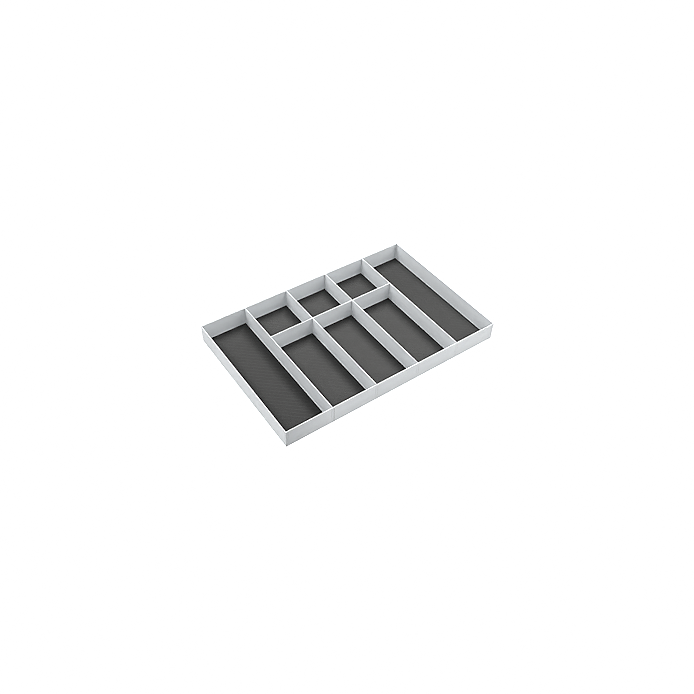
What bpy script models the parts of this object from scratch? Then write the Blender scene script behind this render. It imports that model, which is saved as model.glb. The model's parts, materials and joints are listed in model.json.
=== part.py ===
"""A low drawer insert of moulded panels: an outer frame, long dividers, short cross dividers and loose mats.

Run it in Blender 4.5. Metres, +Z up. The origin is the middle of the footprint, on the underside.
The front of the drawer is at -Y.
"""

import math

import bmesh
import bpy
from mathutils import Matrix, Vector

# Overall size, for a drawer 725 mm wide and 473 mm deep inside
OUTER_WIDTH = 0.722
OUTER_DEPTH = 0.467
OUTER_HEIGHT = 0.0585

# Layout: equal columns, with a row of short compartments behind the cross dividers
COLUMN_COUNT = 5
REAR_ROW_DEPTH = 0.1452

# Panels
WALL_THICKNESS = 0.003
DIVIDER_THICKNESS = 0.003
BASE_THICKNESS = 0.0015
BASE_SEAT = 0.001
EDGE_RADIUS = 0.0005
EDGE_STEPS = 2
GROOVE_DEPTH = 0.0008

# Corner connectors
CORNER_LEG = 0.0085
CORNER_RADIUS = 0.0015
CORNER_STEPS = 5
CORNER_TONGUE_REACH = 0.009

# Divider clips
CLIP_HEAD_WIDTH = 0.008
CLIP_HEAD_THICKNESS = 0.001
CLIP_SHOULDER = 0.001
CLIP_WEB_REACH = 0.009
CLIP_EDGE_RADIUS = 0.0003

# Joints between the pieces
TONGUE_THICKNESS = 0.001
RIM_BAND = 0.003
CLEARANCE = 0.0003

# Mats
MAT_THICKNESS = 0.0013
MAT_BORDER = 0.003
MAT_EDGE_RADIUS = 0.0003

# How far a cutter runs past the face that it opens
CUT_PAST = 0.002

# Points this near are one, an edge this flat is none, and an edge sharper than this is rounded
WELD_DISTANCE = 0.00001
FLAT_ANGLE = math.radians(1)
SHARP_ANGLE = math.radians(40)

# Colour, roughness and metallic value
PLASTIC = ("light_grey_plastic", (0.74, 0.76, 0.77, 1.0), 0.42, 0.0)
CONNECTOR_PLASTIC = ("connector_plastic", (0.70, 0.72, 0.73, 1.0), 0.45, 0.0)
RUBBER = ("dark_mat_rubber", (0.085, 0.084, 0.082, 1.0), 0.85, 0.0)

# Heights that follow
PANEL_FOOT = BASE_THICKNESS + CLEARANCE
TONGUE_FOOT = PANEL_FOOT + CLEARANCE
JOINT_TOP = OUTER_HEIGHT - RIM_BAND
WEB_TOP = JOINT_TOP - CLIP_SHOULDER

# Plan sizes that follow
INNER_DEPTH = OUTER_DEPTH - 2 * WALL_THICKNESS
COLUMN_PITCH = (OUTER_WIDTH - WALL_THICKNESS) / COLUMN_COUNT
CROSS_Y = OUTER_DEPTH / 2 - WALL_THICKNESS - REAR_ROW_DEPTH - DIVIDER_THICKNESS / 2
MIDDLE_COLUMNS = range(1, COLUMN_COUNT - 1)


def upright_x(index):
    """The middle of an upright panel: 0 and COLUMN_COUNT are the side walls, the others are long dividers."""
    return (index - COLUMN_COUNT / 2) * COLUMN_PITCH


def upright_thickness(index):
    return WALL_THICKNESS if index in (0, COLUMN_COUNT) else DIVIDER_THICKNESS


def column_sides(column):
    """The two faces that bound a column."""
    left = upright_x(column) + upright_thickness(column) / 2
    right = upright_x(column + 1) - upright_thickness(column + 1) / 2
    return left, right


def clear_scene():
    for thing in list(bpy.data.objects):
        bpy.data.objects.remove(thing, do_unlink=True)


def new_collection(name):
    collection = bpy.data.collections.new(name)
    bpy.context.scene.collection.children.link(collection)
    return collection


def make_material(name, colour, roughness, metallic):
    material = bpy.data.materials.new(name)
    material.use_nodes = True
    shader = material.node_tree.nodes["Principled BSDF"]
    shader.inputs["Base Color"].default_value = colour
    shader.inputs["Roughness"].default_value = roughness
    shader.inputs["Metallic"].default_value = metallic
    material.diffuse_color = colour
    return material


def box_mesh(name, boxes):
    """Boxes that stay clear of each other, each given by its lowest and highest corner."""
    shape = bmesh.new()
    for low, high in boxes:
        low, high = Vector(low), Vector(high)
        size = high - low
        place = Matrix.Translation((low + high) / 2) @ Matrix.Diagonal((*size, 1.0))
        bmesh.ops.create_cube(shape, size=1.0, matrix=place)
    mesh = bpy.data.meshes.new(name)
    shape.to_mesh(mesh)
    shape.free()
    return mesh


def outline_mesh(name, points, low, high):
    """A closed flat outline, filled and extruded from one height to another."""
    curve = bpy.data.curves.new(name + "_outline", "CURVE")
    curve.dimensions = "2D"
    curve.fill_mode = "BOTH"
    curve.extrude = (high - low) / 2
    spline = curve.splines.new("POLY")
    spline.points.add(len(points) - 1)
    for point, (x, y) in zip(spline.points, points):
        point.co = (x, y, 0.0, 1.0)
    spline.use_cyclic_u = True
    guide = bpy.data.objects.new(name + "_outline", curve)
    bpy.context.scene.collection.objects.link(guide)
    bpy.context.view_layer.update()
    mesh = bpy.data.meshes.new_from_object(guide.evaluated_get(bpy.context.evaluated_depsgraph_get()))
    bpy.data.objects.remove(guide)
    mesh.transform(Matrix.Translation((0.0, 0.0, (low + high) / 2)))
    shape = bmesh.new()
    shape.from_mesh(mesh)
    bmesh.ops.remove_doubles(shape, verts=shape.verts, dist=WELD_DISTANCE)
    bmesh.ops.dissolve_limit(shape, angle_limit=FLAT_ANGLE, verts=shape.verts, edges=shape.edges)
    bmesh.ops.recalc_face_normals(shape, faces=shape.faces)
    shape.to_mesh(mesh)
    shape.free()
    return mesh


def add_piece(name, mesh, material, place=(0.0, 0.0, 0.0), turn=0.0):
    piece = bpy.data.objects.new(name, mesh)
    piece.location = place
    piece.rotation_euler.z = turn
    if not mesh.materials:
        mesh.materials.append(material)
    piece.parent = root
    parts.objects.link(piece)
    return piece


def round_edges(piece, radius, steps):
    bevel = piece.modifiers.new("rounded_edges", "BEVEL")
    bevel.width = radius
    bevel.segments = steps
    bevel.limit_method = "ANGLE"
    bevel.angle_limit = SHARP_ANGLE


def join(piece, name, boxes):
    """Adds boxes that reach well into the piece."""
    add_boolean(piece, name, boxes, "UNION")


def cut(piece, name, boxes):
    """Cuts boxes, given in the piece's own frame, out of it."""
    add_boolean(piece, name, boxes, "DIFFERENCE")


def add_boolean(piece, name, boxes, operation):
    tool = bpy.data.objects.new(f"{piece.name}_{name}", box_mesh(name, boxes))
    tool.parent = piece
    tool.hide_render = True
    tool.display_type = "WIRE"
    cutters.objects.link(tool)
    boolean = piece.modifiers.new(name, "BOOLEAN")
    boolean.operation = operation
    boolean.solver = "EXACT"
    boolean.object = tool


def make_base():
    """A sheet whose edges lie under the foot of the walls."""
    reach = WALL_THICKNESS - BASE_SEAT
    half_width = OUTER_WIDTH / 2 - reach
    half_depth = OUTER_DEPTH / 2 - reach
    mesh = box_mesh("base_panel", [((-half_width, -half_depth, 0), (half_width, half_depth, BASE_THICKNESS))])
    add_piece("base_panel", mesh, plastic)


def make_wall(name, length, place, turn, clip_places=()):
    """A panel whose outer face is y = 0, with its length along x, and its inner side towards +y."""
    half = length / 2 - CORNER_LEG - CLEARANCE
    mesh = box_mesh(name, [((-half, 0, 0), (half, WALL_THICKNESS, OUTER_HEIGHT))])
    wall = add_piece(name, mesh, plastic, place, turn)
    round_edges(wall, EDGE_RADIUS, EDGE_STEPS)
    seat = base_seat_face()
    cut(wall, "base_seat", [((-length, seat, -CUT_PAST), (length, WALL_THICKNESS + CUT_PAST, PANEL_FOOT))])
    low, high = tongue_faces(CLEARANCE)
    pocket = CORNER_TONGUE_REACH + CLEARANCE
    top = JOINT_TOP + CLEARANCE
    cut(wall, "tongue_pockets", [
        ((-half - CUT_PAST, low, -CUT_PAST), (-half + pocket, high, top)),
        ((half - pocket, low, -CUT_PAST), (half + CUT_PAST, high, top)),
    ])
    if not clip_places:
        return
    head = CLIP_HEAD_WIDTH / 2 + CLEARANCE
    web = TONGUE_THICKNESS / 2 + CLEARANCE
    recess = CLIP_HEAD_THICKNESS + CLEARANCE
    cut(wall, "clip_recesses", [
        ((x - head, -CUT_PAST, -CUT_PAST), (x + head, recess, top)) for x in clip_places
    ])
    cut(wall, "clip_slots", [
        ((x - web, recess / 2, -CUT_PAST), (x + web, WALL_THICKNESS + CUT_PAST, WEB_TOP + CLEARANCE))
        for x in clip_places
    ])


def base_seat_face():
    """How far behind a wall's outer face the seat for the base's edge starts."""
    return WALL_THICKNESS - BASE_SEAT - CLEARANCE


def tongue_faces(spare):
    """The two faces of a tongue in the middle of a wall, or of its pocket with some spare room."""
    middle = WALL_THICKNESS / 2
    half = TONGUE_THICKNESS / 2 + spare
    return middle - half, middle + half


def corner_outline():
    """An L with a rounded outer corner at the origin, and its legs along +x and +y."""
    arc = []
    for step in range(CORNER_STEPS + 1):
        angle = math.pi + math.pi / 2 * step / CORNER_STEPS
        x = CORNER_RADIUS + CORNER_RADIUS * math.cos(angle)
        y = CORNER_RADIUS + CORNER_RADIUS * math.sin(angle)
        arc.append((x, y))
    return arc + [
        (CORNER_LEG, 0.0),
        (CORNER_LEG, WALL_THICKNESS),
        (WALL_THICKNESS, WALL_THICKNESS),
        (WALL_THICKNESS, CORNER_LEG),
        (0.0, CORNER_LEG),
    ]


def make_corner(name, place, turn):
    """An upright L connector with a tongue for the end of each wall."""
    mesh = outline_mesh(name, corner_outline(), 0.0, OUTER_HEIGHT)
    corner = add_piece(name, mesh, connector_plastic, place, turn)
    round_edges(corner, EDGE_RADIUS, EDGE_STEPS)
    low, high = tongue_faces(0.0)
    root_of_tongue = (WALL_THICKNESS + CORNER_LEG) / 2
    tip = CORNER_LEG + CORNER_TONGUE_REACH
    join(corner, "tongue_x", [((root_of_tongue, low, TONGUE_FOOT), (tip, high, JOINT_TOP))])
    join(corner, "tongue_y", [((low, root_of_tongue, TONGUE_FOOT), (high, tip, JOINT_TOP))])
    seat = base_seat_face()
    far = CORNER_LEG + CUT_PAST
    cut(corner, "base_seat", [((seat, seat, -CUT_PAST), (far, far, PANEL_FOOT))])


def make_clip(name, place, turn):
    """A head plate flush with a wall's outer face, and a web through the wall into a divider's end."""
    half_head = CLIP_HEAD_WIDTH / 2
    half_web = TONGUE_THICKNESS / 2
    mesh = box_mesh(name, [((-half_head, 0, 0), (half_head, CLIP_HEAD_THICKNESS, JOINT_TOP))])
    clip = add_piece(name, mesh, connector_plastic, place, turn)
    round_edges(clip, CLIP_EDGE_RADIUS, 1)
    tip = WALL_THICKNESS + CLEARANCE + CLIP_WEB_REACH
    join(clip, "web", [((-half_web, CLIP_HEAD_THICKNESS / 2, TONGUE_FOOT), (half_web, tip, WEB_TOP))])


def make_long_divider(index):
    """A panel from front to back, with a clip pocket in each end, and grooves for the cross dividers."""
    half_depth = INNER_DEPTH / 2 - CLEARANCE
    half = DIVIDER_THICKNESS / 2
    name = f"long_divider_{index}"
    mesh = box_mesh(name, [((-half, -half_depth, PANEL_FOOT), (half, half_depth, OUTER_HEIGHT))])
    divider = add_piece(name, mesh, plastic, (upright_x(index), 0, 0))
    round_edges(divider, EDGE_RADIUS, EDGE_STEPS)
    web = TONGUE_THICKNESS / 2 + CLEARANCE
    pocket = CLIP_WEB_REACH + CLEARANCE
    top = WEB_TOP + CLEARANCE
    cut(divider, "clip_pockets", [
        ((-web, -half_depth - CUT_PAST, -CUT_PAST), (web, -half_depth + pocket, top)),
        ((-web, half_depth - pocket, -CUT_PAST), (web, half_depth + CUT_PAST, top)),
    ])
    front = CROSS_Y - DIVIDER_THICKNESS / 2 - CLEARANCE
    back = CROSS_Y + DIVIDER_THICKNESS / 2 + CLEARANCE
    above = OUTER_HEIGHT + CUT_PAST
    grooves = []
    if index - 1 in MIDDLE_COLUMNS:
        grooves.append(((-half - CUT_PAST, front, -CUT_PAST), (-half + GROOVE_DEPTH, back, above)))
    if index in MIDDLE_COLUMNS:
        grooves.append(((half - GROOVE_DEPTH, front, -CUT_PAST), (half + CUT_PAST, back, above)))
    cut(divider, "cross_grooves", grooves)


def make_cross_divider(column):
    """A short panel that stands in the grooves of two long dividers."""
    left, right = column_sides(column)
    half = (right - left) / 2 + GROOVE_DEPTH - CLEARANCE
    thick = DIVIDER_THICKNESS / 2
    name = f"cross_divider_{column}"
    mesh = box_mesh(name, [((-half, -thick, PANEL_FOOT), (half, thick, OUTER_HEIGHT))])
    divider = add_piece(name, mesh, plastic, ((left + right) / 2, CROSS_Y, 0))
    round_edges(divider, EDGE_RADIUS, EDGE_STEPS)


def make_mat(name, column, front, back):
    """A loose mat that leaves a narrow border of the base in sight."""
    left, right = column_sides(column)
    half_width = (right - left) / 2 - MAT_BORDER
    half_depth = (back - front) / 2 - MAT_BORDER
    top = PANEL_FOOT + MAT_THICKNESS
    mesh = box_mesh(name, [((-half_width, -half_depth, PANEL_FOOT), (half_width, half_depth, top))])
    mat = add_piece(name, mesh, rubber, ((left + right) / 2, (front + back) / 2, 0))
    round_edges(mat, MAT_EDGE_RADIUS, 1)


def make_frame():
    inner_dividers = [upright_x(index) for index in range(1, COLUMN_COUNT)]
    half_width, half_depth = OUTER_WIDTH / 2, OUTER_DEPTH / 2
    quarter = math.pi / 2
    make_base()
    make_wall("front_wall", OUTER_WIDTH, (0, -half_depth, 0), 0.0, inner_dividers)
    make_wall("back_wall", OUTER_WIDTH, (0, half_depth, 0), 2 * quarter, inner_dividers)
    make_wall("left_wall", OUTER_DEPTH, (-half_width, 0, 0), -quarter)
    make_wall("right_wall", OUTER_DEPTH, (half_width, 0, 0), quarter)
    make_corner("front_left_corner", (-half_width, -half_depth, 0), 0.0)
    make_corner("front_right_corner", (half_width, -half_depth, 0), quarter)
    make_corner("back_right_corner", (half_width, half_depth, 0), 2 * quarter)
    make_corner("back_left_corner", (-half_width, half_depth, 0), -quarter)
    for index, x in enumerate(inner_dividers, 1):
        make_clip(f"front_clip_{index}", (x, -half_depth, 0), 0.0)
        make_clip(f"back_clip_{index}", (x, half_depth, 0), 2 * quarter)
        make_long_divider(index)


def make_loose_pieces():
    front_face = -INNER_DEPTH / 2
    back_face = INNER_DEPTH / 2
    make_mat("left_mat", 0, front_face, back_face)
    make_mat("right_mat", COLUMN_COUNT - 1, front_face, back_face)
    for column in MIDDLE_COLUMNS:
        make_cross_divider(column)
        make_mat(f"front_mat_{column}", column, front_face, CROSS_Y - DIVIDER_THICKNESS / 2)
        make_mat(f"rear_mat_{column}", column, CROSS_Y + DIVIDER_THICKNESS / 2, back_face)


clear_scene()
parts = new_collection("drawer_divider")
cutters = new_collection("cutters")
root = bpy.data.objects.new("drawer_divider_origin", None)
parts.objects.link(root)
plastic = make_material(*PLASTIC)
connector_plastic = make_material(*CONNECTOR_PLASTIC)
rubber = make_material(*RUBBER)
make_frame()
make_loose_pieces()
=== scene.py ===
import json
import math

import bpy
from mathutils import Matrix, Vector


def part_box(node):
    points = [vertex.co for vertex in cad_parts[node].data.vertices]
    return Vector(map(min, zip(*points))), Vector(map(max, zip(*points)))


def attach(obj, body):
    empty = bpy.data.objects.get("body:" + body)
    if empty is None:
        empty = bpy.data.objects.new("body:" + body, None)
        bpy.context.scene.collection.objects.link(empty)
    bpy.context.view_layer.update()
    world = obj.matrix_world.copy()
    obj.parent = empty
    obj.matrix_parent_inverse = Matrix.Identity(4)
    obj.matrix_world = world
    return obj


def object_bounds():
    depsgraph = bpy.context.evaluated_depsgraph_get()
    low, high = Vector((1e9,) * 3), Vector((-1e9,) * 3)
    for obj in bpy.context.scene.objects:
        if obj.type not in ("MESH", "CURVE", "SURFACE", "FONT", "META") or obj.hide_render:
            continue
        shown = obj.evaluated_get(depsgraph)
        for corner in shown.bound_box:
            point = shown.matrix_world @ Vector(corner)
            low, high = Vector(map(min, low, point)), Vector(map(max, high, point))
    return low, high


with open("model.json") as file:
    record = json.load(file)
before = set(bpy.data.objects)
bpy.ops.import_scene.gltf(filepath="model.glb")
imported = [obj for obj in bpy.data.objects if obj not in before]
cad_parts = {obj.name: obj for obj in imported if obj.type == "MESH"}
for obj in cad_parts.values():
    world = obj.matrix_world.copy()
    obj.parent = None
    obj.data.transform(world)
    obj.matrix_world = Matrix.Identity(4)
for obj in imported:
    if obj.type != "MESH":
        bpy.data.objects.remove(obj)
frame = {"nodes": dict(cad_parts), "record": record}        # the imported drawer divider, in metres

cadLow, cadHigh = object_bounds()


nodeGrid = (220, -200)


def addNode(tree, kind, at, values=None, **settings):
    # one node at a grid place, with its own settings and fixed socket values
    made = tree.nodes.new(kind)
    made.location = (at[0] * nodeGrid[0], at[1] * nodeGrid[1])
    for name, setting in settings.items():
        setattr(made, name, setting)
    for name, value in (values or {}).items():
        made.inputs[name].default_value = value
    return made


def linkedNode(tree, kind, at, sources, values=None, **settings):
    # the same, with an output linked to each socket that sources names
    made = addNode(tree, kind, at, values, **settings)
    for name, output in sources.items():
        tree.links.new(output, made.inputs[name])
    return made


def mathNode(tree, at, operation, first, second=None, third=None):
    # a maths node; numbers are set on its sockets and outputs are linked to them
    made = addNode(tree, "ShaderNodeMath", at, operation=operation)
    for index, value in enumerate((first, second, third)):
        if isinstance(value, (int, float)):
            made.inputs[index].default_value = value
        elif value is not None:
            tree.links.new(value, made.inputs[index])
    return made.outputs[0]


def vectorNode(tree, at, operation, first, second):
    made = addNode(tree, "ShaderNodeVectorMath", at, operation=operation)
    tree.links.new(first, made.inputs[0])
    tree.links.new(second, made.inputs[1])
    return made.outputs["Value" if operation == "DOT_PRODUCT" else "Vector"]


def separate(tree, at, vector):
    return tuple(linkedNode(tree, "ShaderNodeSeparateXYZ", at, {"Vector": vector}).outputs)


def combine(tree, at, *parts):
    # a vector from its three parts; a part that is None stays 0
    made = addNode(tree, "ShaderNodeCombineXYZ", at)
    for index, value in enumerate(parts):
        if value is not None:
            tree.links.new(value, made.inputs[index])
    return made.outputs["Vector"]


def socketOf(sockets, identifier):
    # a Mix node has several sockets of one name, so they are told apart by identifier
    return next(each for each in sockets if each.identifier == identifier)


def mixColour(tree, at, factor, first, second):
    made = linkedNode(tree, "ShaderNodeMix", at, {"Factor": factor}, data_type="RGBA")
    for identifier, value in (("A_Color", first), ("B_Color", second)):
        socket = socketOf(made.inputs, identifier)
        if isinstance(value, tuple):
            socket.default_value = (*value, 1.0)
        else:
            tree.links.new(value, socket)
    return socketOf(made.outputs, "Result_Color")


def mapRange(tree, at, value, fromPair, toPair=(0.0, 1.0), shape="LINEAR"):
    made = linkedNode(tree, "ShaderNodeMapRange", at, {"Value": value}, clamp=True, interpolation_type=shape)
    made.inputs["From Min"].default_value, made.inputs["From Max"].default_value = fromPair
    made.inputs["To Min"].default_value, made.inputs["To Max"].default_value = toPair
    return made.outputs["Result"]


def noiseNode(tree, at, values, sources):
    return linkedNode(tree, "ShaderNodeTexNoise", at, sources, values).outputs["Fac"]


def storeAttribute(tree, at, geometry, name, value, kind="FLOAT"):
    made = linkedNode(tree, "GeometryNodeStoreNamedAttribute", at, {"Geometry": geometry, "Value": value},
                      {"Name": name}, data_type=kind, domain="POINT")
    return made.outputs["Geometry"]


def newGroup(name, kind, inputs, outputs, columns=9):
    # an empty node group with its named inputs and outputs
    tree = bpy.data.node_groups.new(name, kind)
    for label, socketKind, value in inputs:
        socket = tree.interface.new_socket(label, in_out="INPUT", socket_type=socketKind)
        if value is not None:
            socket.default_value = value
    for label, socketKind in outputs:
        tree.interface.new_socket(label, in_out="OUTPUT", socket_type=socketKind)
    return tree, addNode(tree, "NodeGroupInput", (0, 0)), addNode(tree, "NodeGroupOutput", (columns, 0))


# Shader groups that several finishes share

grainNoise = {
    "grain": {"Detail": 2.0, "Roughness": 0.55},
    "flow": {"Detail": 3.0, "Roughness": 0.5, "Distortion": 0.6},
    "fleck": {"Detail": 1.0},
    "fleckScale": 0.31,         # against the scale of the grain
    "flowRange": (0.3, 0.7),    # from the first tone to the second
    "fleckRange": (0.62, 0.8),
}


def makeMouldedGrain():
    # fine spark-eroded grain of a mould, and the slow tone changes of the plastic that filled it
    tree, given, result = newGroup(
        "moulded grain", "ShaderNodeTree",
        [("Vector", "NodeSocketVector", None),
         ("Grain Size", "NodeSocketFloat", 0.0007),
         ("Flow Size", "NodeSocketFloat", 0.05)],
        [("Height", "NodeSocketFloat"), ("Flow", "NodeSocketFloat"), ("Fleck", "NodeSocketFloat")])
    place = given.outputs["Vector"]
    grainScale = mathNode(tree, (1, 0), "DIVIDE", 1.0, given.outputs["Grain Size"])
    flowScale = mathNode(tree, (1, 1), "DIVIDE", 1.0, given.outputs["Flow Size"])
    fleckScale = mathNode(tree, (1, 2), "MULTIPLY", grainScale, grainNoise["fleckScale"])
    grain = noiseNode(tree, (2, 0), grainNoise["grain"], {"Vector": place, "Scale": grainScale})
    flow = noiseNode(tree, (2, 1), grainNoise["flow"], {"Vector": place, "Scale": flowScale})
    fleck = noiseNode(tree, (2, 2), grainNoise["fleck"], {"Vector": place, "Scale": fleckScale})
    tree.links.new(grain, result.inputs["Height"])
    tree.links.new(mapRange(tree, (4, 1), flow, grainNoise["flowRange"]), result.inputs["Flow"])
    tree.links.new(mapRange(tree, (4, 2), fleck, grainNoise["fleckRange"]), result.inputs["Fleck"])
    return tree


edgeNoise = {
    "patches": {"Detail": 2.0},
    "turnRange": (0.995, 0.8),  # cosines of the turn where the mask starts and where it is full
    "patchRange": (0.3, 0.65),
    "patchShare": (0.35, 1.0),  # between the patches the mask is thin
}


def makeEdgeMarks():
    # a mask of the edges and seams that use marks, broken up along their length: edge wear, a painted
    # highlight on the walls' edges and a painted shadow in one seam
    tree, given, result = newGroup(
        "edge marks", "ShaderNodeTree",
        [("Vector", "NodeSocketVector", None),
         ("Width", "NodeSocketFloat", 0.0008),
         ("Patch Size", "NodeSocketFloat", 0.03)],
        [("Mask", "NodeSocketFloat")])
    place = given.outputs["Vector"]
    rounded = linkedNode(tree, "ShaderNodeBevel", (2, 0), {"Radius": given.outputs["Width"]}, samples=4)
    surface = addNode(tree, "ShaderNodeNewGeometry", (2, 1))
    turn = vectorNode(tree, (3, 0), "DOT_PRODUCT", rounded.outputs["Normal"], surface.outputs["Normal"])
    patchScale = mathNode(tree, (1, 2), "DIVIDE", 1.0, given.outputs["Patch Size"])
    patches = noiseNode(tree, (3, 2), edgeNoise["patches"], {"Vector": place, "Scale": patchScale})
    edge = mapRange(tree, (5, 0), turn, edgeNoise["turnRange"])
    patchy = mapRange(tree, (5, 1), patches, edgeNoise["patchRange"], edgeNoise["patchShare"])
    tree.links.new(mathNode(tree, (7, 0), "MULTIPLY", edge, patchy), result.inputs["Mask"])
    return tree


markNoise = {
    "drift": {"Scale": 90.0, "Detail": 3.0},
    "stretch": {"Rotation": (0.5, 0.3, 0.7), "Scale": (1.0, 14.0, 14.0)},   # draws the rubs out into lines
    "rubs": {"Detail": 2.0, "Distortion": 0.2},
    "cornerRange": (0.75, 0.3),     # openness where the corner darkening starts and where it is full
    "driftRange": (0.3, 0.7),
    "driftShare": (0.3, 1.0),
    "rubRange": (0.66, 0.78),
}


def makeCornerDarkAndRubs():
    # a darker colour in the inside corners, by how closed in they are, and faint slanted rub marks
    tree, given, result = newGroup(
        "corner darkening and rubs", "ShaderNodeTree",
        [("Vector", "NodeSocketVector", None),
         ("Corner Reach", "NodeSocketFloat", 0.006),
         ("Rub Size", "NodeSocketFloat", 0.02)],
        [("Corner Darkening", "NodeSocketFloat"), ("Rubs", "NodeSocketFloat")])
    place = given.outputs["Vector"]
    reach = given.outputs["Corner Reach"]
    corner = linkedNode(tree, "ShaderNodeAmbientOcclusion", (2, 0), {"Distance": reach}, samples=4)
    drift = noiseNode(tree, (2, 1), markNoise["drift"], {"Vector": place})
    stretch = linkedNode(tree, "ShaderNodeMapping", (2, 2), {"Vector": place}, markNoise["stretch"])
    rubScale = mathNode(tree, (1, 2), "DIVIDE", 1.0, given.outputs["Rub Size"])
    stretched = {"Vector": stretch.outputs["Vector"], "Scale": rubScale}
    rubs = noiseNode(tree, (3, 2), markNoise["rubs"], stretched)
    hidden = mapRange(tree, (4, 0), corner.outputs["AO"], markNoise["cornerRange"])
    broken = mapRange(tree, (4, 1), drift, markNoise["driftRange"], markNoise["driftShare"])
    tree.links.new(mathNode(tree, (6, 0), "MULTIPLY", hidden, broken), result.inputs["Corner Darkening"])
    tree.links.new(mapRange(tree, (5, 2), rubs, markNoise["rubRange"]), result.inputs["Rubs"])
    return tree


rimFade = (1.0, 0.3)     # shares of the band between which the rim highlight and polish come in


def makeRimHighlight():
    # the rims are lighter, a painted highlight, and polished smoother: a mask that comes in over the last
    # stretch below a given height
    tree, given, result = newGroup(
        "rim highlight and polish", "ShaderNodeTree",
        [("Vector", "NodeSocketVector", None),
         ("Rim Height", "NodeSocketFloat", 0.0585),
         ("Band", "NodeSocketFloat", 0.0012)],
        [("Mask", "NodeSocketFloat")])
    height = separate(tree, (1, 0), given.outputs["Vector"])[2]
    below = mathNode(tree, (2, 0), "SUBTRACT", given.outputs["Rim Height"], height)
    share = mathNode(tree, (3, 0), "DIVIDE", below, given.outputs["Band"])
    tree.links.new(mapRange(tree, (4, 0), share, rimFade), result.inputs["Mask"])
    return tree


mouldedGrain = makeMouldedGrain()
edgeMarks = makeEdgeMarks()
cornerDarkAndRubs = makeCornerDarkAndRubs()
rimHighlight = makeRimHighlight()


def useGroup(tree, group, at, place, values):
    return linkedNode(tree, "ShaderNodeGroup", at, {"Vector": place}, values, node_tree=group)


# Finishes

panelPlasticLook = {
    "colour": (0.788, 0.814, 0.832),
    "colourLight": (0.820, 0.844, 0.860),
    "rimColour": (0.82, 0.84, 0.855),
    "edgeColour": (0.85, 0.865, 0.875),
    "edgeShare": 0.5,
    "edgeWidth": 0.0007,
    "shadedSeam": -0.2115,     # X of the seam, beside the first clip, along which a shadow line is painted
    "seamShadeReach": (0.002, 0.005),
    "seamShadeShare": 0.0,
    "seamShadeColour": (0.2, 0.203, 0.203),
    "frontShadeStretch": (-0.361, -0.221),    # X from the left end of the front face, over which painted shade darkens it
    "frontShadeShare": 0.0,
    "frontShadeDepth": 0.0005,      # only the skin of the front face
    "frontShadeColour": (0.63, 0.65, 0.665),
    "cornerDarkColour": (0.66, 0.66, 0.65),
    "cornerDarkShare": 0.45,
    "fleckColour": (0.71, 0.725, 0.735),
    "fleckShare": 0.35,
    "roughness": (0.42, 0.55),
    "rubRoughness": -0.08,    # rubbed places are smoother
    "rimRoughness": -0.1,
    "specular": 0.42,
    "grainSize": 0.0007,
    "grainDepth": 0.00004,
    "rubDepth": -0.4,         # against the height of the grain
    "bump": 0.35,
}
# the outer walls have paler edges, from wear and a painted highlight, a painted shadow line in one seam of
# the front, with the seam opposite it in the back, and painted shade on the left end of the front
wallPlasticLook = dict(
    panelPlasticLook,
    edgeColour=(0.91, 0.925, 0.935),
    edgeShare=1.0,
    edgeWidth=0.0015,
    seamShadeShare=1.0,
    frontShadeShare=1.0,
)
connectorPlasticLook = dict(
    wallPlasticLook,
    colour=(0.765, 0.790, 0.808),
    colourLight=(0.796, 0.819, 0.835),
    frontShadeColour=(0.585, 0.605, 0.62),
    roughness=(0.36, 0.48),
)


def newMaterial(name, look):
    made = bpy.data.materials.new(name)
    made.use_nodes = True
    tree = made.node_tree
    shader = tree.nodes["Principled BSDF"]
    shader.inputs["Specular IOR Level"].default_value = look["specular"]
    place = addNode(tree, "ShaderNodeTexCoord", (-6, 0)).outputs["Object"]
    return made, tree, shader, place


def addRelief(tree, shader, look, height):
    bump = {"Strength": look["bump"], "Distance": look["grainDepth"]}
    relief = linkedNode(tree, "ShaderNodeBump", (-1, 4), {"Height": height}, bump)
    tree.links.new(relief.outputs["Normal"], shader.inputs["Normal"])


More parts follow.
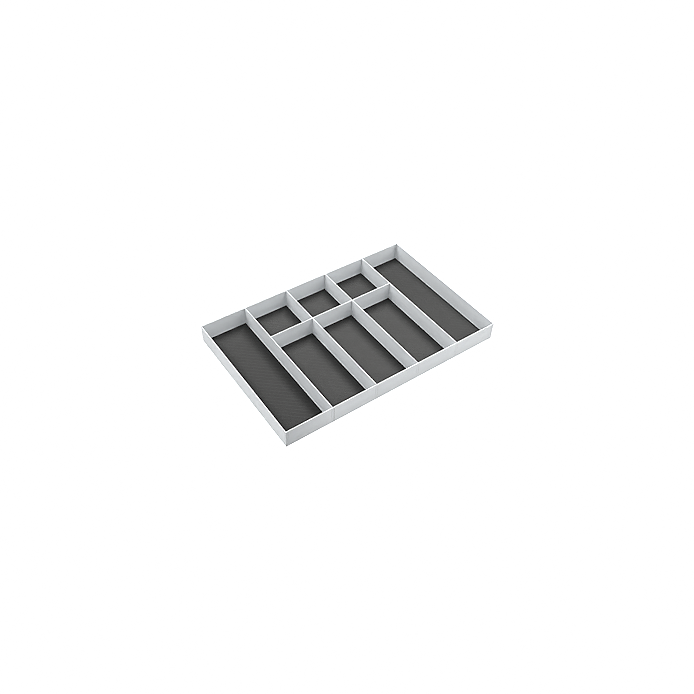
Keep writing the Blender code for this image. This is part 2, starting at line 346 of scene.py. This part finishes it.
def makePlastic(name, look):
    made, tree, shader, place = newMaterial(name, look)
    grain = useGroup(tree, mouldedGrain, (-5, 0), place, {"Grain Size": look["grainSize"]})
    edgeNode = useGroup(tree, edgeMarks, (-5, 1), place, {"Width": look["edgeWidth"]})
    marks = useGroup(tree, cornerDarkAndRubs, (-5, 2), place, {})
    rim = useGroup(tree, rimHighlight, (-5, 3), place, {"Rim Height": cadHigh.z})

    # the plastic itself, its flecks, and the darker colour in its corners
    body = mixColour(tree, (-4, 0), grain.outputs["Flow"], look["colour"], look["colourLight"])
    flecks = mathNode(tree, (-4, -1), "MULTIPLY", grain.outputs["Fleck"], look["fleckShare"])
    flecked = mixColour(tree, (-3, 0), flecks, body, look["fleckColour"])
    cornerDark = mathNode(tree, (-4, 2), "MULTIPLY", marks.outputs["Corner Darkening"], look["cornerDarkShare"])
    cornerDarkened = mixColour(tree, (-2, 0), cornerDark, flecked, look["cornerDarkColour"])
    # paler edges: wear, and on the walls and connectors also a painted highlight along the seams
    paleEdge = mathNode(tree, (-4, 1), "MULTIPLY", edgeNode.outputs["Mask"], look["edgeShare"])
    edged = mixColour(tree, (-1, 0), paleEdge, cornerDarkened, look["edgeColour"])

    # painted shade on the left end of the front face
    along, inwards = separate(tree, (-7, 4), place)[:2]
    onFront = mathNode(tree, (-6, 5), "LESS_THAN", inwards, cadLow.y + look["frontShadeDepth"])
    nearEnd = mapRange(tree, (-6, 6), along, look["frontShadeStretch"], (look["frontShadeShare"], 0.0))
    frontShade = mathNode(tree, (-5, 5), "MULTIPLY", onFront, nearEnd)
    frontShaded = mixColour(tree, (-2, 5), frontShade, edged, look["frontShadeColour"])

    # the painted shadow line in one seam, and the rims lightened by a painted highlight
    fromShadedSeam = mathNode(tree, (-6, 4), "SUBTRACT", along, look["shadedSeam"])
    seamDistance = mathNode(tree, (-5, 4), "ABSOLUTE", fromShadedSeam)
    seamShadeShare = mapRange(tree, (-4, 4), seamDistance, look["seamShadeReach"], (look["seamShadeShare"], 0.0))
    seamShade = mathNode(tree, (-3, 4), "MULTIPLY", edgeNode.outputs["Mask"], seamShadeShare)
    seamShaded = mixColour(tree, (-1, 1), seamShade, frontShaded, look["seamShadeColour"])
    rimmed = mixColour(tree, (-1, -1), rim.outputs["Mask"], seamShaded, look["rimColour"])
    tree.links.new(rimmed, shader.inputs["Base Color"])

    shine = mapRange(tree, (-3, 2), grain.outputs["Flow"], (0.0, 1.0), look["roughness"])
    rubbed = mathNode(tree, (-2, 2), "MULTIPLY_ADD", marks.outputs["Rubs"], look["rubRoughness"], shine)
    smooth = mathNode(tree, (-1, 2), "MULTIPLY_ADD", rim.outputs["Mask"], look["rimRoughness"], rubbed)
    tree.links.new(smooth, shader.inputs["Roughness"])
    height = mathNode(tree, (-2, 4), "MULTIPLY_ADD", marks.outputs["Rubs"], look["rubDepth"],
                      grain.outputs["Height"])
    addRelief(tree, shader, look, height)
    return made


matRubberLook = {
    "colour": (0.0497, 0.0494, 0.0483),
    "colourLight": (0.0545, 0.0542, 0.0529),
    "paintedLitColour": (0.0857, 0.0852, 0.0833),
    "ribTop": (0.1026, 0.102, 0.0996),
    "rubColour": (0.0945, 0.092, 0.0875),
    "rubShare": 0.25,
    "rubSize": 0.03,
    "edgeColour": (0.016, 0.016, 0.0155),    # painted shadow: towards the walls the rubber is darkened
    "shadowReach": 0.040,
    "edgeShare": 0.8,
    "roughness": (0.62, 0.78),
    "specular": 0.3,
    "flowSize": 0.03,
    "grainSize": 0.0009,
    "grainDepth": 0.00008,
    "bump": 0.5,
}


def makeRubber(name, look, ribbed):
    made, tree, shader, place = newMaterial(name, look)
    grainValues = {"Grain Size": look["grainSize"], "Flow Size": look["flowSize"]}
    grain = useGroup(tree, mouldedGrain, (-5, 0), place, grainValues)
    marks = useGroup(tree, cornerDarkAndRubs, (-5, 2), place, {"Rub Size": look["rubSize"]})
    body = mixColour(tree, (-4, 0), grain.outputs["Flow"], look["colour"], look["colourLight"])
    if ribbed:
        # painted light and shade set the mat's tone from front to back, the taller ribs are rubbed paler
        # along their tops, and painted shadow darkens the edges
        paintedLight = addNode(tree, "ShaderNodeAttribute", (-5, -2), attribute_name="matLight")
        tone = addNode(tree, "ShaderNodeAttribute", (-5, -1), attribute_name="ribTone")
        body = mixColour(tree, (-4, -1), paintedLight.outputs["Fac"], body, look["paintedLitColour"])
        body = mixColour(tree, (-3, -1), tone.outputs["Fac"], body, look["ribTop"])
        nearSides = []
        for row, attribute in ((-3, "toRightBack"), (-4, "toLeftFront")):
            distances = addNode(tree, "ShaderNodeAttribute", (-6, row), attribute_name=attribute)
            across, along = separate(tree, (-5, row), distances.outputs["Vector"])[:2]
            nearSides.append(mathNode(tree, (-4, row), "MINIMUM", across, along))
        nearest = mathNode(tree, (-3, -3), "MINIMUM", *nearSides)
        edgeShadow = mapRange(tree, (-2, -3), nearest, (look["shadowReach"], 0.0), (0.0, look["edgeShare"]),
                             "SMOOTHSTEP")
        body = mixColour(tree, (-2, -1), edgeShadow, body, look["edgeColour"])
    rubs = mathNode(tree, (-4, 2), "MULTIPLY", marks.outputs["Rubs"], look["rubShare"])
    rubbed = mixColour(tree, (-1, 0), rubs, body, look["rubColour"])
    tree.links.new(rubbed, shader.inputs["Base Color"])
    shine = mapRange(tree, (-3, 2), grain.outputs["Flow"], (0.0, 1.0), look["roughness"])
    tree.links.new(shine, shader.inputs["Roughness"])
    addRelief(tree, shader, look, grain.outputs["Height"])
    return made


# the smooth border of each mat is near black: a darker rubber edge, with painted shade along the walls' feet
matEdgeLook = dict(
    matRubberLook,
    colour=(0.017, 0.017, 0.0166),
    colourLight=(0.021, 0.021, 0.0205),
    rubColour=(0.035, 0.035, 0.034),
)
panelPlastic = makePlastic("panel plastic", panelPlasticLook)
wallPlastic = makePlastic("wall plastic", wallPlasticLook)
connectorPlastic = makePlastic("connector plastic", connectorPlasticLook)
matRubber = makeRubber("mat edge rubber", matEdgeLook, False)
ribRubber = makeRubber("ribbed rubber", matRubberLook, True)


def nodesWith(*words):
    return [name for name in sorted(frame["nodes"]) if any(word in name for word in words)]


def dress(names, material):
    for name in names:
        for slot in frame["nodes"][name].material_slots:
            slot.material = material


matNodes = nodesWith("_mat")
connectorNodes = nodesWith("_corner", "_clip")
wallNodes = nodesWith("_wall")
panelNodes = nodesWith("base_panel", "_divider")
dress(panelNodes, panelPlastic)
dress(wallNodes, wallPlastic)
dress(connectorNodes, connectorPlastic)
dress(matNodes, matRubber)
print("finishes:", len(panelNodes), "panels,", len(wallNodes), "walls,", len(connectorNodes), "connectors,",
      len(matNodes), "mats")


# Ribs on the mats: fine ribs across the mat on a slant, with a taller one at every few

ribLook = {
    "pitch": 0.00235,
    "slant": -41.0,         # degrees from the long side
    "fineWidth": 0.0012,
    "fineHeight": 0.0004,
    "mainEvery": 5,
    "mainWidth": 0.0018,
    "mainHeight": 0.0006,
    "fieldRise": 0.0002,
    "border": 0.0030,       # smooth edge of the mat that has no ribs
    "shortest": 0.004,
    "endLength": 0.0008,    # each end tapers over this length
    "endSize": 0.35,
    "sides": 8,
    # how pale the tall ribs of each mat are rubbed, set mat by mat until the render matched the photo
    "mainTone": {
        "left_mat": 0.34, "front_mat_1": 0.32, "front_mat_2": 0.16, "front_mat_3": 0.1,
        "rear_mat_1": 0.18, "rear_mat_2": 0.2, "rear_mat_3": 0.16, "right_mat": 0.2,
    },
    # the painted light and shade of each mat, at its front and at its back, set in the same way
    "matLight": {
        "left_mat": (0.0, 0.5), "front_mat_1": (0.44, 0.62), "front_mat_2": (0.68, 0.66),
        "front_mat_3": (0.73, 0.55), "rear_mat_1": (0.96, 0.7), "rear_mat_2": (0.76, 0.54),
        "rear_mat_3": (0.4, 0.28), "right_mat": (0.5, 0.0),
    },
    "rightEase": {"right_mat": 8.0},    # its painted edge shadow on the right reaches that much less far
}


def makeRibSpan():
    # where a slanted line at a given offset enters and leaves a rectangle
    tree, given, result = newGroup(
        "rib span", "GeometryNodeTree",
        [("Offset", "NodeSocketFloat", 0.0),
         ("Half Width", "NodeSocketFloat", 0.05),
         ("Half Depth", "NodeSocketFloat", 0.05),
         ("Slant", "NodeSocketFloat", 0.0)],
        [("Start", "NodeSocketFloat"), ("End", "NodeSocketFloat")])
    offset, halfWidth, halfDepth, slant = (given.outputs[name] for name in
                                           ("Offset", "Half Width", "Half Depth", "Slant"))
    tangent = mathNode(tree, (1, 0), "TANGENT", slant)
    alongWidth = mathNode(tree, (2, 0), "MULTIPLY", offset, tangent)
    alongDepth = mathNode(tree, (2, 1), "MULTIPLY", mathNode(tree, (1, 1), "DIVIDE", offset, tangent), -1.0)
    cosine = mathNode(tree, (2, 2), "ABSOLUTE", mathNode(tree, (1, 2), "COSINE", slant))
    sine = mathNode(tree, (2, 3), "ABSOLUTE", mathNode(tree, (1, 3), "SINE", slant))
    reachWidth = mathNode(tree, (3, 2), "DIVIDE", halfWidth, cosine)
    reachDepth = mathNode(tree, (3, 3), "DIVIDE", halfDepth, sine)
    start = mathNode(tree, (6, 0), "MAXIMUM",
                     mathNode(tree, (5, 0), "SUBTRACT", alongWidth, reachWidth),
                     mathNode(tree, (5, 1), "SUBTRACT", alongDepth, reachDepth))
    end = mathNode(tree, (6, 1), "MINIMUM",
                   mathNode(tree, (5, 2), "ADD", alongWidth, reachWidth),
                   mathNode(tree, (5, 3), "ADD", alongDepth, reachDepth))
    tree.links.new(start, result.inputs["Start"])
    tree.links.new(end, result.inputs["End"])
    return tree


# a rib before it is sized: a round bar along X from -1 to 1, in three stretches
ribBar = {
    "shape": {"Side Segments": 3, "Radius": 0.5, "Depth": 2.0},
    "endFrom": 0.9,         # the vertices beyond this are at an end
    "rings": 1.5,           # rings for each unit of length
}


def makeMatRibs(ribSpan):
    tree, given, result = newGroup(
        "mat ribs", "GeometryNodeTree",
        [("Geometry", "NodeSocketGeometry", None),
         ("Centre", "NodeSocketVector", None),
         ("Half Width", "NodeSocketFloat", 0.05),
         ("Half Depth", "NodeSocketFloat", 0.05),
         ("Slant", "NodeSocketFloat", -0.7),
         ("Pitch", "NodeSocketFloat", 0.0024),
         ("Main Every", "NodeSocketInt", 5),
         ("Main Tone", "NodeSocketFloat", 1.0),
         ("Front Tone", "NodeSocketFloat", 0.5),
         ("Back Tone", "NodeSocketFloat", 0.5),
         ("Edge Ease", "NodeSocketVector", None),
         ("Fine Size", "NodeSocketVector", None),
         ("Main Size", "NodeSocketVector", None),
         ("Shortest", "NodeSocketFloat", 0.004),
         ("End Length", "NodeSocketFloat", 0.001),
         ("End Size", "NodeSocketFloat", 0.4),
         ("Sides", "NodeSocketInt", 8),
         ("Field Thickness", "NodeSocketFloat", 0.0004),
         ("Material", "NodeSocketMaterial", None)],
        [("Geometry", "NodeSocketGeometry")], 35)
    centre, halfWidth, halfDepth, slant, pitch = (
        given.outputs[name] for name in ("Centre", "Half Width", "Half Depth", "Slant", "Pitch"))

    def spanOf(at, offset):
        rectangle = {"Offset": offset, "Half Width": halfWidth, "Half Depth": halfDepth, "Slant": slant}
        made = linkedNode(tree, "GeometryNodeGroup", at, rectangle, node_tree=ribSpan)
        return made.outputs["Start"], made.outputs["End"]

    # one point for each rib, in a row across the slant; the row is longer than the mat and is then trimmed
    diagonal = mathNode(tree, (1, 0), "ADD", halfWidth, halfDepth)
    pitches = mathNode(tree, (2, 0), "DIVIDE", diagonal, pitch)
    perSide = mathNode(tree, (3, 0), "CEIL", pitches)
    count = mathNode(tree, (4, 0), "MULTIPLY_ADD", perSide, 2.0, 1.0)
    before = mathNode(tree, (3, 1), "MULTIPLY", perSide, -1.0)
    firstY = mathNode(tree, (4, 1), "MULTIPLY", before, pitch)
    firstPoint = combine(tree, (5, 1), None, firstY, None)
    step = combine(tree, (5, 2), None, pitch, None)
    row = linkedNode(tree, "GeometryNodeMeshLine", (6, 0),
                     {"Count": count, "Start Location": firstPoint, "Offset": step}, mode="OFFSET")
    index = addNode(tree, "GeometryNodeInputIndex", (5, 3)).outputs["Index"]
    remainder = mathNode(tree, (6, 3), "MODULO", index, given.outputs["Main Every"])
    isMain = mathNode(tree, (7, 3), "LESS_THAN", remainder, 0.5)
    ranked = storeAttribute(tree, (8, 0), row.outputs["Mesh"], "mainRib", isMain)
    ribTone = mathNode(tree, (7, 4), "MULTIPLY", isMain, given.outputs["Main Tone"])
    rubbed = storeAttribute(tree, (8, 1), ranked, "ribTone", ribTone)
    here = addNode(tree, "GeometryNodeInputPosition", (8, 3)).outputs["Position"]
    start, end = spanOf((10, 3), separate(tree, (9, 3), here)[1])
    length = mathNode(tree, (11, 3), "SUBTRACT", end, start)
    tooShort = mathNode(tree, (12, 3), "LESS_THAN", length, given.outputs["Shortest"])
    trimmed = linkedNode(tree, "GeometryNodeDeleteGeometry", (13, 0),
                         {"Geometry": rubbed, "Selection": tooShort}, domain="POINT")

    # the rib, thinner at both ends
    bar = linkedNode(tree, "GeometryNodeMeshCylinder", (6, 6), {"Vertices": given.outputs["Sides"]},
                     ribBar["shape"])
    laid = linkedNode(tree, "GeometryNodeTransform", (7, 6), {"Geometry": bar.outputs["Mesh"]},
                      {"Rotation": (0.0, math.pi / 2, 0.0)})
    barX, barY, barZ = separate(tree, (8, 7), here)
    distance = mathNode(tree, (9, 7), "ABSOLUTE", barX)
    atEnd = mathNode(tree, (10, 7), "GREATER_THAN", distance, ribBar["endFrom"])
    loss = mathNode(tree, (10, 8), "SUBTRACT", given.outputs["End Size"], 1.0)
    shrink = mathNode(tree, (11, 7), "MULTIPLY_ADD", atEnd, loss, 1.0)
    thinY = mathNode(tree, (12, 8), "MULTIPLY", barY, shrink)
    thinZ = mathNode(tree, (12, 9), "MULTIPLY", barZ, shrink)
    thin = combine(tree, (12, 7), barX, thinY, thinZ)
    tapered = linkedNode(tree, "GeometryNodeSetPosition", (13, 6),
                         {"Geometry": laid.outputs["Geometry"], "Position": thin})

    # a fine or a main rib at each point
    rank = addNode(tree, "GeometryNodeInputNamedAttribute", (13, 3), {"Name": "mainRib"}, data_type="FLOAT")
    ribSize = linkedNode(tree, "ShaderNodeMix", (14, 3), {"Factor": rank.outputs["Attribute"]},
                         data_type="VECTOR")
    for identifier, size in (("A_Vector", "Fine Size"), ("B_Vector", "Main Size")):
        tree.links.new(given.outputs[size], socketOf(ribSize.inputs, identifier))
    ribs = {
        "Points": trimmed.outputs["Geometry"],
        "Instance": tapered.outputs["Geometry"],
        "Scale": socketOf(ribSize.outputs, "Result_Vector"),
    }
    placed = linkedNode(tree, "GeometryNodeInstanceOnPoints", (15, 0), ribs)
    real = linkedNode(tree, "GeometryNodeRealizeInstances", (16, 0),
                      {"Geometry": placed.outputs["Instances"]})

    # every vertex is drawn out to the edge of the ribbed field along its own line
    ribX, ribY, ribZ = separate(tree, (16, 3), here)
    lineStart, lineEnd = spanOf((17, 3), ribY)
    side = mathNode(tree, (17, 5), "GREATER_THAN", ribX, 0.0)
    fromMiddle = mathNode(tree, (17, 6), "ABSOLUTE", ribX)
    fromEnd = mathNode(tree, (18, 5), "SUBTRACT", 1.0, fromMiddle)
    rings = mathNode(tree, (18, 6), "MULTIPLY", fromEnd, ribBar["rings"])
    inset = mathNode(tree, (19, 5), "MULTIPLY", rings, given.outputs["End Length"])
    nearStart = mathNode(tree, (20, 3), "ADD", lineStart, inset)
    nearEnd = mathNode(tree, (20, 4), "SUBTRACT", lineEnd, inset)
    between = mathNode(tree, (21, 4), "SUBTRACT", nearEnd, nearStart)
    along = mathNode(tree, (22, 3), "MULTIPLY_ADD", side, between, nearStart)
    drawn = combine(tree, (23, 3), along, ribY, ribZ)
    turned = linkedNode(tree, "ShaderNodeVectorRotate", (24, 3), {"Vector": drawn, "Angle": slant},
                        rotation_type="Z_AXIS")
    moved = vectorNode(tree, (25, 3), "ADD", turned.outputs["Vector"], centre)
    drawnOut = linkedNode(tree, "GeometryNodeSetPosition", (26, 0),
                          {"Geometry": real.outputs["Geometry"], "Position": moved})
    soft = linkedNode(tree, "GeometryNodeSetShadeSmooth", (27, 0), {"Geometry": drawnOut.outputs["Geometry"]})

    # the raised field that the ribs stand on, inside the smooth edge of the mat
    fieldWidth = mathNode(tree, (23, 6), "MULTIPLY", halfWidth, 2.0)
    fieldDepth = mathNode(tree, (23, 7), "MULTIPLY", halfDepth, 2.0)
    fieldSize = combine(tree, (24, 6), fieldWidth, fieldDepth, given.outputs["Field Thickness"])
    field = linkedNode(tree, "GeometryNodeMeshCube", (25, 6), {"Size": fieldSize})
    laidField = linkedNode(tree, "GeometryNodeTransform", (26, 6),
                           {"Geometry": field.outputs["Mesh"], "Translation": centre})
    together = addNode(tree, "GeometryNodeJoinGeometry", (28, 0))
    for part in (soft, laidField):
        tree.links.new(part.outputs["Geometry"], together.inputs["Geometry"])
    whole = linkedNode(tree, "GeometryNodeRealizeInstances", (29, 0),
                       {"Geometry": together.outputs["Geometry"]})

    # painted light and shade change the rubber's tone evenly from the front of the mat to its back
    fromCentre = vectorNode(tree, (26, 3), "SUBTRACT", here, centre)
    ratio = mathNode(tree, (28, 3), "DIVIDE", separate(tree, (27, 3), fromCentre)[1], halfDepth)
    backShare = mathNode(tree, (29, 3), "MULTIPLY_ADD", ratio, 0.5, 0.5)
    change = mathNode(tree, (29, 4), "SUBTRACT", given.outputs["Back Tone"], given.outputs["Front Tone"])
    tone = mathNode(tree, (30, 3), "MULTIPLY_ADD", backShare, change, given.outputs["Front Tone"])
    toned = storeAttribute(tree, (31, 0), whole.outputs["Geometry"], "matLight", tone)

    # how far each point lies from the edges of the field, so that painted shadow can darken the rubber
    # towards the walls
    half = combine(tree, (28, 6), halfWidth, halfDepth, None)
    toRight = vectorNode(tree, (29, 6), "SUBTRACT", half, fromCentre)
    toLeft = vectorNode(tree, (29, 7), "ADD", half, fromCentre)
    eased = vectorNode(tree, (30, 6), "MULTIPLY", toRight, given.outputs["Edge Ease"])
    rightKnown = storeAttribute(tree, (32, 0), toned, "toRightBack", eased, "FLOAT_VECTOR")
    leftKnown = storeAttribute(tree, (33, 0), rightKnown, "toLeftFront", toLeft, "FLOAT_VECTOR")
    finish = linkedNode(tree, "GeometryNodeSetMaterial", (34, 0),
                        {"Geometry": leftKnown, "Material": given.outputs["Material"]})
    tree.links.new(finish.outputs["Geometry"], result.inputs["Geometry"])
    return tree


matRibs = makeMatRibs(makeRibSpan())


def bodyOf(node):
    return next(name for name, parts in frame["record"]["behaviour"]["bodies"].items() if node in parts)


def newObject(name, data):
    made = bpy.data.objects.new(name, data)
    bpy.context.scene.collection.objects.link(made)
    return made


def makeRibs(matNode):
    low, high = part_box(matNode)
    look = ribLook
    host = newObject(matNode + "_ribs", bpy.data.meshes.new(matNode + "_ribs"))
    modifier = host.modifiers.new("mat ribs", "NODES")
    modifier.node_group = matRibs
    sockets = {item.name: item.identifier for item in matRibs.interface.items_tree if item.in_out == "INPUT"}
    # ribs and field are centred on the top of the mat, so they are made twice as high as they show
    values = {
        "Centre": ((low.x + high.x) / 2, (low.y + high.y) / 2, high.z),
        "Half Width": (high.x - low.x) / 2 - look["border"],
        "Half Depth": (high.y - low.y) / 2 - look["border"],
        "Slant": math.radians(look["slant"]),
        "Pitch": look["pitch"],
        "Main Every": look["mainEvery"],
        "Main Tone": look["mainTone"][matNode],
        "Front Tone": look["matLight"][matNode][0],
        "Back Tone": look["matLight"][matNode][1],
        "Edge Ease": (look["rightEase"].get(matNode, 1.0), 1.0, 0.0),
        "Fine Size": (1.0, look["fineWidth"], look["fineHeight"] * 2),
        "Main Size": (1.0, look["mainWidth"], look["mainHeight"] * 2),
        "Shortest": look["shortest"],
        "End Length": look["endLength"],
        "End Size": look["endSize"],
        "Sides": look["sides"],
        "Field Thickness": look["fieldRise"] * 2,
        "Material": ribRubber,
    }
    for name, value in values.items():
        modifier[sockets[name]] = value
    evaluated = host.evaluated_get(bpy.context.evaluated_depsgraph_get())
    made = bpy.data.meshes.new_from_object(evaluated)
    host.modifiers.clear()
    host.data = made
    made.name = host.name
    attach(host, bodyOf(matNode))
    return host


for name in matNodes:
    ribs = makeRibs(name)
    print("ribs:", ribs.name, len(ribs.data.polygons), "faces")


# Floor, light and camera

floorLook = {
    "half": 12.0,
    "top": -0.0004,
    "lit": (0.62, 0.62, 0.62),      # what the floor throws back on the part
    "seen": (0.20, 0.20, 0.20),     # what the camera sees of its shadows
    "glow": 1.02,                   # a lit table, so that the camera sees it white
    "roughness": 0.9,
}
white = (1.0, 1.0, 1.0, 1.0)
backdropStrength = 1.0
lights = {
    "key from the right back": {"place": (0.5, 0.5, 1.1), "size": 0.8, "watts": 9.0},
    "right front softbox": {"place": (1.41, -1.41, 1.6), "size": 1.4, "watts": 13.0},
    "right front top fill": {"place": (0.85, -0.85, 2.0), "size": 0.8, "watts": 13.0},
    "right front low fill": {"place": (1.98, -1.84, 1.0), "size": 1.5, "watts": 14.5},
    "front top fill": {"place": (0.2, -0.9, 0.9), "size": 0.6, "watts": 0.9},
    "left back softbox": {"place": (-2.82, 2.82, 3.2), "size": 2.8, "watts": 58.0},
    "left back top fill": {"place": (-0.85, 0.85, 2.0), "size": 0.8, "watts": 15.0},
    "left front softbox": {"place": (-2.82, -2.82, 3.2), "size": 2.8, "watts": 55.0},
    "left low fill": {"place": (-5.6, 0.0, 2.0), "size": 3.0, "watts": 94.0},
}
cameraLook = {
    "place": (-0.88439, -1.18350, 1.46542),
    "azimuth": 36.654,      # degrees from +Y towards +X
    "down": 45.420,
    "roll": 2.075,
    "lens": 36.152,
}


def chooseByRay(tree, others, camera, output):
    # the camera's own rays see one shader, and all other rays another
    rays = addNode(tree, "ShaderNodeLightPath", (0, -2))
    choice = addNode(tree, "ShaderNodeMixShader", (2, 0))
    for index, source in enumerate((rays.outputs["Is Camera Ray"], others.outputs[0], camera.outputs[0])):
        tree.links.new(source, choice.inputs[index])
    tree.links.new(choice.outputs[0], output.inputs["Surface"])


def makeFloor(look):
    half, top = look["half"], look["top"]
    mesh = bpy.data.meshes.new("floor")
    corners = [(-half, -half, top), (half, -half, top), (half, half, top), (-half, half, top)]
    mesh.from_pydata(corners, [], [(0, 1, 2, 3)])
    made = bpy.data.materials.new("pale floor")
    made.use_nodes = True
    tree = made.node_tree
    matt = {"Roughness": look["roughness"], "Specular IOR Level": 0.0}
    lit = {"Base Color": (*look["lit"], 1.0)}
    shown = {"Base Color": (*look["seen"], 1.0), "Emission Color": white, "Emission Strength": look["glow"]}
    bounce = addNode(tree, "ShaderNodeBsdfPrincipled", (0, 0), {**matt, **lit})
    seen = addNode(tree, "ShaderNodeBsdfPrincipled", (0, 3), {**matt, **shown})
    chooseByRay(tree, bounce, seen, tree.nodes["Material Output"])
    tree.nodes.remove(tree.nodes["Principled BSDF"])
    mesh.materials.append(made)
    floor = newObject("floor", mesh)


def makeWorld():
    world = bpy.data.worlds.new("studio")
    world.use_nodes = True
    tree = world.node_tree
    # the backdrop is white to the camera and gives no light of its own
    unlit = tree.nodes["Background"]
    unlit.inputs["Strength"].default_value = 0.0
    backdrop = addNode(tree, "ShaderNodeBackground", (0, 2), {"Strength": backdropStrength, "Color": white})
    chooseByRay(tree, unlit, backdrop, tree.nodes["World Output"])
    bpy.context.scene.world = world


def makeLight(name, look):
    data = bpy.data.lights.new(name, "AREA")
    data.shape = "SQUARE"
    data.size = look["size"]
    data.energy = look["watts"]
    lamp = newObject(name, data)
    lamp.location = look["place"]
    lamp.rotation_mode = "QUATERNION"
    lamp.rotation_quaternion = Vector(look["place"]).to_track_quat("Z", "Y")   # it faces the origin


def makeCamera(look):
    azimuth, down, roll = (math.radians(look[name]) for name in ("azimuth", "down", "roll"))
    ahead = Vector((math.sin(azimuth) * math.cos(down), math.cos(azimuth) * math.cos(down), -math.sin(down)))
    level = ahead.cross(Vector((0.0, 0.0, 1.0))).normalized()
    upright = level.cross(ahead)
    right = level * math.cos(roll) + upright * math.sin(roll)
    up = right.cross(ahead)
    turn = Matrix((right, up, -ahead)).transposed().to_4x4()
    data = bpy.data.cameras.new("camera")
    data.lens = look["lens"]
    camera = newObject("camera", data)
    camera.matrix_world = Matrix.Translation(look["place"]) @ turn
    bpy.context.scene.camera = camera


makeFloor(floorLook)
makeWorld()
for name, look in lights.items():
    makeLight(name, look)
makeCamera(cameraLook)
bpy.context.scene.view_settings.view_transform = "Standard"
print("stage: floor, world,", len(lights), "lights and camera")


# Picture finish: the photo is crisply sharpened, so the render's own picture is too

pictureLook = {
    "sharpening": 0.36,
    "gamma": 2.2,           # the sharpening works on display values, as a photo editor's does
}


def makePicture(look):
    scene = bpy.context.scene
    scene.use_nodes = True
    tree = scene.node_tree
    tree.nodes.clear()
    shot = addNode(tree, "CompositorNodeRLayers", (0, 0))
    # values above white are cut off first, so that they leave no halo
    capped = addNode(tree, "CompositorNodeMixRGB", (1, 0), blend_type="DARKEN")
    capped.inputs[2].default_value = white
    tree.links.new(shot.outputs["Image"], capped.inputs[1])
    shown = addNode(tree, "CompositorNodeGamma", (2, 0), {"Gamma": 1.0 / look["gamma"]})
    crisp = addNode(tree, "CompositorNodeFilter", (3, 0), {"Fac": look["sharpening"]},
                    filter_type="SHARPEN_DIAMOND")
    linear = addNode(tree, "CompositorNodeGamma", (4, 0), {"Gamma": look["gamma"]})
    output = addNode(tree, "CompositorNodeComposite", (5, 0))
    for before, after in ((capped, shown), (shown, crisp), (crisp, linear), (linear, output)):
        tree.links.new(before.outputs["Image"], after.inputs["Image"])


makePicture(pictureLook)
print("picture: sharpened by", pictureLook["sharpening"])
